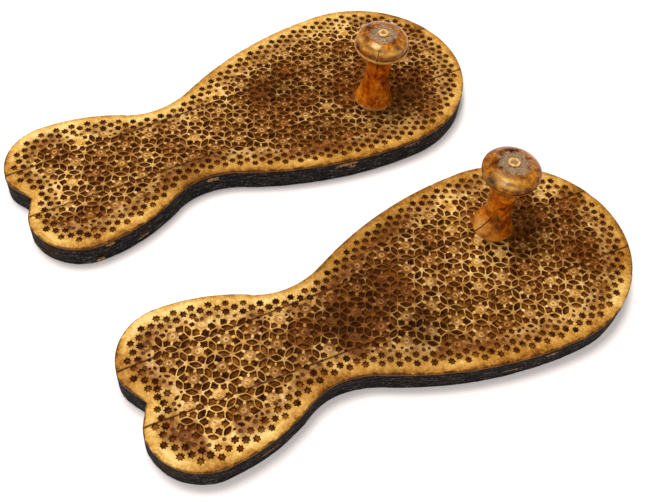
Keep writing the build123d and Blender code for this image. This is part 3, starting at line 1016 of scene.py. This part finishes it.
def plug(side, material):
    """The button that closes the bore: a worn ring round a pit."""
    seed = 2.0 if side == "left" else 8.0
    surface, bottom = CROWNS[side] - DISC_DROP, CROWNS[side] - BORE[1]
    cap = smooth_line([(radius, surface + up) for radius, up in BUTTONS[side]], 0.14)
    line = [(0, bottom + 0.35), (1.3, bottom + 0.35), (1.42, bottom + 0.6), *cap, (0, cap[-1][1])]

    def dent(angle, radius, z):
        if z < surface + 0.1:
            return 0.0
        c, s = math.cos(math.radians(angle)), math.sin(math.radians(angle))
        return max(0.0, 0.05 + 0.16 * noise_at(c * 1.4, s * 1.4, z + seed))

    vertices, faces = turned(line, BUTTON_SIDES, dent)
    radius, up = np.hypot(vertices[:, 0], vertices[:, 1]), vertices[:, 2] - surface
    wobble = np.array([noise_at(x / 1.2, y / 1.2, seed) for x, y, _ in vertices])
    vertices[:, 2] -= np.where(up > 0.9, 0.06 + 0.06 * wobble, 0)
    values = {"pit": np.exp(-(radius / PIT_RADII[side])**4), "lift": up}
    piece = make(f"{side}_button", vertices + knob_foot(side), faces, side, material, values, 50)
    dress(piece, side, f"{side}_knob_plug")


def wedge(side, material):
    """The wedge in the tenon's saw cut, driven in."""
    at = knob_place(side)
    seed = 3.0 if side == "left" else 7.0
    columns, levels = 15, 10
    vertices = []
    for level in range(levels):
        share = level / (levels - 1)
        z = TENON_END + share * (KERF[1] - 0.3) + (0.25 if level == 0 else 0)
        half = 0.55 * (1 - share) + 0.15 * share - 0.02
        for face in (1, -1):
            for i in range(columns):
                y = face * (-3.25 + 6.5 * i / (columns - 1))
                rough = 0.04 * noise_at(y, z, seed + face)
                vertices.append((at[0] + face * (half - abs(rough)), at[1] + y, z))
    count = 2 * columns
    faces = [tuple(range(count))[::-1], tuple(range((levels - 1) * count, levels * count))]
    faces += bands(0, count, levels)
    piece = make(f"{side}_wedge", vertices, faces, side, material, {}, 40)
    dress(piece, side, f"{side}_knob_wedge")


# ---------------------------------------------------------------- materials

class Shader:
    """A short way to write a material's nodes. A string stands for the attribute it names."""

    def __init__(self, name):
        self.material = bpy.data.materials.new(name)
        self.material.use_nodes = True
        self.tree = self.material.node_tree
        self.tree.nodes.clear()
        self.out = self.node("OutputMaterial")
        self.where = self.node("TexCoord").outputs["Object"]

    def node(self, kind, **settings):
        node = self.tree.nodes.new("ShaderNode" + kind)
        for key, value in settings.items():
            setattr(node, key, value)
        return node

    def feed(self, socket, value):
        """Set one input to a number or a colour, or link it to an output or an attribute."""
        if isinstance(value, str):
            value = self.node("Attribute", attribute_name=value).outputs["Fac"]
        if isinstance(value, bpy.types.NodeSocket):
            self.tree.links.new(value, socket)
        elif socket.type == "RGBA":
            socket.default_value = (*value, 1)
        else:
            socket.default_value = value

    def put(self, node, **inputs):
        for key, value in inputs.items():
            self.feed(node.inputs[key.replace("_", " ")], value)
        return node

    def noise(self, scale, detail, rough, stretch=None, where=None):
        where = where or self.where
        if stretch:
            where = self.put(self.node("Mapping"), Vector=where, Scale=stretch).outputs[0]
        return self.put(self.node("TexNoise"), Vector=where, Scale=scale, Detail=detail,
                        Roughness=rough).outputs["Fac"]

    def ramp(self, value, *stops):
        made = self.node("ValToRGB")
        self.feed(made.inputs[0], value)
        ramp = made.color_ramp
        while len(ramp.elements) < len(stops):
            ramp.elements.new(0.5)
        for element, (at, colour) in zip(ramp.elements, stops):
            element.position = at
            element.color = (*(colour if isinstance(colour, tuple) else (colour,) * 3), 1)
        return made.outputs[0]

    def mix(self, factor, a, b):
        made = self.node("Mix", data_type="RGBA")
        for socket, value in ((0, factor), (6, a), (7, b)):
            self.feed(made.inputs[socket], value)
        return made.outputs[2]

    def math(self, kind, a, b, clamp=False):
        made = self.node("Math", operation=kind, use_clamp=clamp)
        self.feed(made.inputs[0], a)
        self.feed(made.inputs[1], b)
        return made.outputs[0]

    def times(self, value, by):
        return self.math("MULTIPLY", value, by)

    def share(self, value, of):
        """A value as a share of another, up to 1."""
        return self.math("DIVIDE", value, of, clamp=True)

    def total(self, *terms):
        """The sum of terms, each a value, its weight and the middle it is counted from, if any."""
        result = None
        for value, weight, *middle in terms:
            if middle:
                value = self.math("SUBTRACT", value, middle[0])
            if weight != 1:
                value = self.times(value, weight)
            result = self.math("ADD", result, value) if result else value
        return result

    def bump(self, height, strength, size, normal=None):
        made = self.put(self.node("Bump"), Height=height, Strength=strength, Distance=size)
        if normal:
            self.feed(made.inputs["Normal"], normal)
        return made.outputs[0]

    def surface(self, **inputs):
        shader = self.put(self.node("BsdfPrincipled"), **inputs)
        self.feed(self.out.inputs["Surface"], shader.outputs[0])
        return self.material


def bone():
    s = Shader("honey_bone")
    broad, patches = s.noise(38, 2, 0.45), s.noise(70, 3, 0.5)
    mottle, speckle, fine = s.noise(230, 5, 0.66), s.noise(620, 4, 0.6), s.noise(1500, 4, 0.65)
    streaks = s.noise(300, 4, 0.6, stretch=(1, 0.16, 1))
    light = s.ramp(mottle, (0.30, (0.439, 0.181, 0.026)), (0.46, (0.697, 0.368, 0.083)),
                   (0.60, (0.929, 0.606, 0.213)), (0.76, (0.97, 0.83, 0.50)))
    dirt = s.ramp(mottle, (0.30, (0.071, 0.012, 0.00065)), (0.55, (0.258, 0.077, 0.01)),
                  (0.80, (0.477, 0.206, 0.049)))
    bright_cells = s.ramp("cell", (0.86, 0.0), (0.97, 0.4))
    # Less rubbed brightness under the stains and under the painted shadow beside each knob
    wear = s.total(("wear", 0.52), ("cell", 0.5, 0.5), (bright_cells, 1), (patches, 1.7, 0.5),
                   (fine, 0.6, 0.5), (speckle, 0.9, 0.5), ("gleam", 0.35), ("stain_and_shade", -0.75))
    colour = s.mix(wear, dirt, light)
    # The plain margin: golden, with broad pale and brown clouds
    mixed = s.total((broad, 0.20), (patches, 0.30), (mottle, 0.30), (speckle, 0.28),
                    (streaks, 0.14), (fine, 0.26), ("sun", 0.16), (s.share("depth", 3.8), 0.13))
    margin = s.ramp(mixed, (0.66, (0.168, 0.049, 0.0026)), (0.75, (0.413, 0.168, 0.018)),
                    (0.84, (0.632, 0.31, 0.054)), (0.92, (0.826, 0.477, 0.108)),
                    (1.0, (0.97, 0.697, 0.245)))
    edge = s.ramp(s.share("depth", 12.0), (0.36, 0.92), (0.62, 0.35), (0.95, 0.0))
    colour = s.mix(edge, colour, margin)
    # Dirt along the rim and the seams, and in the sunk dots
    rim = s.total((s.share("depth", 2.6), 1), (mottle, 1.2, 0.5))
    colour = s.mix(s.ramp(rim, (0.14, 0.95), (0.42, 0.0)), colour, (0.071, 0.026, 0.0052))
    seam = s.total((s.share("seam", 1.4), 1), (mottle, -1.0, 0.5))
    colour = s.mix(s.ramp(seam, (0.15, 0.85), (0.6, 0.0)), colour, (0.09, 0.028, 0.0039))
    dot = s.ramp(s.share("dot", 1.2), (0.62, 0.9), (0.86, 0.0))
    colour = s.mix(dot, colour, (0.103, 0.036, 0.0039))
    # Darker under the stains, and under the painted shadow beside each knob
    colour = s.mix(s.times("stain_and_shade", 0.60), colour, (0.062, 0.021, 0.0026))
    # The holes' walls, darker brown than the top
    wall = s.ramp(mottle, (0.3, (0.116, 0.026, 0.0013)), (0.7, (0.464, 0.161, 0.015)))
    colour = s.mix(s.ramp("low", (0.06, 0.0), (0.3, 0.9)), colour, wall)
    normal = s.bump(mottle, 0.4, 0.0005, s.bump(fine, 0.3, 0.00025))
    return s.surface(Base_Color=colour, Roughness=s.ramp(fine, (0.3, 0.34), (0.7, 0.55)),
                     Normal=normal, Specular_IOR_Level=0.07)


def black_wood():
    s = Shader("blackened_wood")
    where = s.put(s.node("CombineXYZ"), X=s.times("run", MM), Y=s.times("up", MM)).outputs[0]
    grain = s.noise(1100, 5, 0.7, stretch=(0.12, 1, 1), where=where)
    grit, blotch = s.noise(900, 4, 0.65), s.noise(60, 4, 0.6)
    mixed = s.total((grain, 0.6), (grit, 0.4))
    colour = s.ramp(mixed, (0.38, (0.0039, 0.0039, 0.0039)), (0.50, (0.017, 0.014, 0.013)),
                    (0.57, (0.062, 0.057, 0.054)), (0.66, (0.284, 0.258, 0.232)))
    brown = s.ramp(mixed, (0.4, (0.013, 0.0065, 0.0026)), (0.65, (0.097, 0.049, 0.021)))
    colour = s.mix(s.ramp(blotch, (0.5, 0.0), (0.68, 0.7)), colour, brown)
    # Bare wood in the chips
    fresh = s.ramp(grit, (0.35, (0.206, 0.09, 0.026)), (0.65, (0.645, 0.387, 0.168)))
    bare = s.total(("bare", 1), (grit, 1.2, 0.5))
    colour = s.mix(s.ramp(bare, (0.4, 0.0), (0.7, 0.95)), colour, fresh)
    # The floor of the openings, browner than the side
    inner = s.ramp(s.noise(300, 4, 0.6), (0.36, (0.023, 0.0039, 0.00026)),
                   (0.5, (0.116, 0.031, 0.0019)), (0.66, (0.284, 0.097, 0.012)))
    # The floor darker under the stains and under the painted shadow beside each knob
    inner = s.mix(s.times("stain_and_shade", 0.8), inner, (0.021, 0.0039, 0.00039))
    colour = s.mix("lid", colour, inner)
    return s.surface(Base_Color=colour, Roughness=s.ramp(mixed, (0.3, 0.6), (0.7, 0.85)),
                     Normal=s.bump(mixed, 0.8, 0.0009), Specular_IOR_Level=0.05)


def knob_bone():
    s = Shader("amber_bone")
    blotch, mottle, fine = s.noise(110, 5, 0.65), s.noise(420, 5, 0.7), s.noise(1700, 4, 0.7)
    grain = s.noise(500, 4, 0.6, stretch=(1, 1, 0.10))
    mixed = s.total((mottle, 0.35), (blotch, 0.5), (grain, 0.15))
    stem = s.ramp(mixed, (0.37, (0.085, 0.010, 0.0003)), (0.44, (0.38, 0.060, 0.001)),
                  (0.50, (0.74, 0.155, 0.0025)), (0.57, (0.95, 0.33, 0.016)),
                  (0.66, (0.97, 0.54, 0.11)))
    head = s.ramp(mixed, (0.39, (0.050, 0.009, 0.0004)), (0.46, (0.20, 0.045, 0.001)),
                  (0.52, (0.46, 0.140, 0.008)), (0.59, (0.80, 0.33, 0.028)),
                  (0.67, (0.97, 0.60, 0.15)))
    colour = s.mix(s.share(s.math("SUBTRACT", "up", 33.0), 5.0), stem, head)
    colour = s.mix(s.times("bead", 0.55), colour, (0.97, 0.516, 0.129))
    # Lighter rubbed bone, and painted highlight on the lit front of the dome
    pale_and_highlight = s.times("pale_and_highlight", s.ramp(mottle, (0.35, 0.5), (0.6, 1.0)))
    colour = s.mix(pale_and_highlight, colour, (0.97, 0.54, 0.125))
    # Stains, and painted shade under the head and down the neck's shaded side
    stain_and_shade = s.times("stain_and_shade", s.ramp(mottle, (0.35, 1.0), (0.7, 0.55)))
    colour = s.mix(stain_and_shade, colour, (0.036, 0.0077, 0.0013))
    # A painted reflection of a dark thing, bluish grey, on the right knob's crown
    colour = s.mix(s.times("dark_reflection", 0.9), colour, (0.028, 0.026, 0.034))
    # The bare disc, where the spongy inside of the bone shows
    pores = s.put(s.node("TexVoronoi"), Vector=s.where, Scale=1900).outputs["Distance"]
    spongy = s.ramp(pores, (0.15, (0.11, 0.054, 0.023)), (0.5, (0.361, 0.226, 0.123)),
                    (0.8, (0.671, 0.49, 0.31)))
    spongy = s.mix(s.ramp(fine, (0.4, 0.0), (0.65, 0.6)), spongy, (0.181, 0.097, 0.044))
    ragged = s.ramp(s.total(("disc", 1), (mottle, 3.6, 0.5), (blotch, 2.4, 0.5)),
                    (0.35, 0.0), (0.85, 0.88))
    colour = s.mix(ragged, colour, spongy)
    colour = s.mix(s.times("groove", 0.85), colour, (0.045, 0.012, 0.0026))
    crack = s.ramp(s.share("crack", 0.6), (0.3, 0.95), (0.6, 0.0))
    colour = s.mix(crack, colour, (0.028, 0.0077, 0.0013))
    normal = s.bump(s.times(pores, ragged), 0.8, 0.0006, s.bump(mottle, 0.35, 0.0005))
    normal = s.bump(s.times(crack, -1.0), 0.7, 0.0005, normal)
    rough = s.total((s.ramp(fine, (0.3, 0.07), (0.7, 0.16)), 1), (ragged, 0.45))
    return s.surface(Base_Color=colour, Roughness=rough, Normal=normal, Specular_IOR_Level=0.22)


def button_bone():
    s = Shader("button_bone")
    mottle, fine = s.noise(700, 5, 0.7), s.noise(2600, 3, 0.6)
    colour = s.ramp(mottle, (0.32, (0.335, 0.129, 0.023)), (0.5, (0.8, 0.439, 0.123)),
                    (0.68, (0.97, 0.774, 0.335)))
    colour = s.mix(s.times("pit", 0.8), colour, (0.194, 0.077, 0.026))
    low = s.ramp(s.share("lift", 0.8), (0.15, 0.85), (0.75, 0.0))
    colour = s.mix(low, colour, (0.11, 0.039, 0.01))
    return s.surface(Base_Color=colour, Roughness=s.ramp(fine, (0.3, 0.25), (0.7, 0.5)),
                     Normal=s.bump(mottle, 0.5, 0.0004), Specular_IOR_Level=0.2)


def peg_wood():
    s = Shader("brown_peg_wood")
    grain, blotch = s.noise(1300, 4, 0.65), s.noise(260, 3, 0.6)
    colour = s.ramp(grain, (0.3, (0.052, 0.014, 0.0026)), (0.55, (0.142, 0.049, 0.009)),
                    (0.75, (0.284, 0.116, 0.026)))
    colour = s.mix(s.ramp(blotch, (0.4, 0.0), (0.65, 0.6)), colour, (0.071, 0.023, 0.0052))
    return s.surface(Base_Color=colour, Roughness=s.ramp(grain, (0.3, 0.55), (0.7, 0.8)),
                     Normal=s.bump(grain, 0.5, 0.0003), Specular_IOR_Level=0.1)


# ---------------------------------------------------------------- scene

bone_material, wood_material = bone(), black_wood()
knob_material, button_material, peg_material = knob_bone(), button_bone(), peg_wood()

for side in ("left", "right"):
    peg_centres = cad_pegs(side)
    overlay(side, peg_centres, bone_material)
    board(side, peg_centres, wood_material)
    pegs_of(side, peg_centres, peg_material)
    knob(side, knob_material)
    plug(side, button_material)
    wedge(side, peg_material)


FLOOR_REACH, FLOOR_HEIGHT = 6, -0.0001
GLOW = 0.14                        # light that the floor adds, seen by the camera alone
WORLD_LIGHT, BACKDROP = 0.25, 1.0


def floor():
    """A white floor, a hair below the soles, that keeps their shadow."""
    s = Shader("floor")
    both = s.node("AddShader")
    s.feed(both.inputs[0], s.put(s.node("BsdfDiffuse"), Color=(0.96, 0.87, 0.84)).outputs[0])
    strength = s.times(s.node("LightPath").outputs["Is Camera Ray"], GLOW)
    glow = s.put(s.node("Emission"), Color=(1, 0.98, 0.97), Strength=strength)
    s.feed(both.inputs[1], glow.outputs[0])
    s.feed(s.out.inputs["Surface"], both.outputs[0])
    mesh = bpy.data.meshes.new("floor")
    mesh.from_pydata([(x * FLOOR_REACH, y * FLOOR_REACH, FLOOR_HEIGHT)
                      for x, y in ((-1, -1), (1, -1), (1, 1), (-1, 1))], [], [(0, 1, 2, 3)])
    mesh.materials.append(s.material)
    add("floor", mesh)


def lamp(name, at, aim, size, power):
    data = bpy.data.lights.new(name, "AREA")
    data.shape = "RECTANGLE"
    data.size, data.size_y = size
    data.energy = power
    thing = add(name, data)
    thing.location = at
    thing.rotation_mode = "QUATERNION"
    thing.rotation_quaternion = (Vector(aim) - Vector(at)).to_track_quat("-Z", "Y")


# The photograph's camera, as recovered from the two outlines, in metres, degrees and pixels
CAMERA_PLACE = (0.2368, -0.1569, 0.3602)
CAMERA_TURN, CAMERA_PITCH, CAMERA_ROLL = (math.radians(a) for a in (34.834, 53.65, -7.06))
FOCAL_LENGTH, PHOTO_WIDTH = 923, 650
SENSOR_WIDTH = 36


def camera():
    """The photograph's camera, with the level directions to its right and ahead of it."""
    right = Vector((math.sin(CAMERA_TURN), math.cos(CAMERA_TURN), 0))
    ahead = Vector((-math.cos(CAMERA_TURN), math.sin(CAMERA_TURN), 0))
    look = ahead * math.cos(CAMERA_PITCH) + Vector((0, 0, -math.sin(CAMERA_PITCH)))
    down = -ahead * math.sin(CAMERA_PITCH) + Vector((0, 0, -math.cos(CAMERA_PITCH)))
    across = right * math.cos(CAMERA_ROLL) + down * math.sin(CAMERA_ROLL)
    under = -right * math.sin(CAMERA_ROLL) + down * math.cos(CAMERA_ROLL)
    data = bpy.data.cameras.new("camera")
    data.sensor_width = SENSOR_WIDTH
    data.lens = FOCAL_LENGTH / PHOTO_WIDTH * SENSOR_WIDTH
    thing = add("camera", data)
    turn = Matrix((across, -under, -look)).transposed().to_4x4()
    thing.matrix_world = Matrix.Translation(CAMERA_PLACE) @ turn
    bpy.context.scene.camera = thing
    return right, ahead


def backdrop():
    """A plain white world: soft light on the object, full white to the camera."""
    world = bpy.data.worlds.new("world")
    world.use_nodes = True
    tree = world.node_tree
    choice = tree.nodes.new("ShaderNodeMixShader")
    tree.links.new(tree.nodes.new("ShaderNodeLightPath").outputs["Is Camera Ray"],
                   choice.inputs[0])
    for socket, background, strength in (
            (1, tree.nodes["Background"], WORLD_LIGHT),
            (2, tree.nodes.new("ShaderNodeBackground"), BACKDROP)):
        background.inputs[0].default_value = (1, 1, 1, 1)
        background.inputs[1].default_value = strength
        tree.links.new(background.outputs[0], choice.inputs[socket])
    tree.links.new(choice.outputs[0], tree.nodes["World Output"].inputs["Surface"])
    bpy.context.scene.world = world


right, ahead = camera()
floor()


def seen_from(across, along, up):
    """A place given as seen by the camera, on level ground."""
    return right * across + ahead * along + Vector((0, 0, up))


lamp("key", seen_from(-0.34, 0.29, 1.75), (0, 0, 0), (0.6, 0.6), 25)
lamp("front", seen_from(-0.32, -0.85, 1.4), (0, 0, 0.03), (0.12, 0.09), 6.2)
backdrop()
bpy.context.scene.view_settings.view_transform = "Standard"
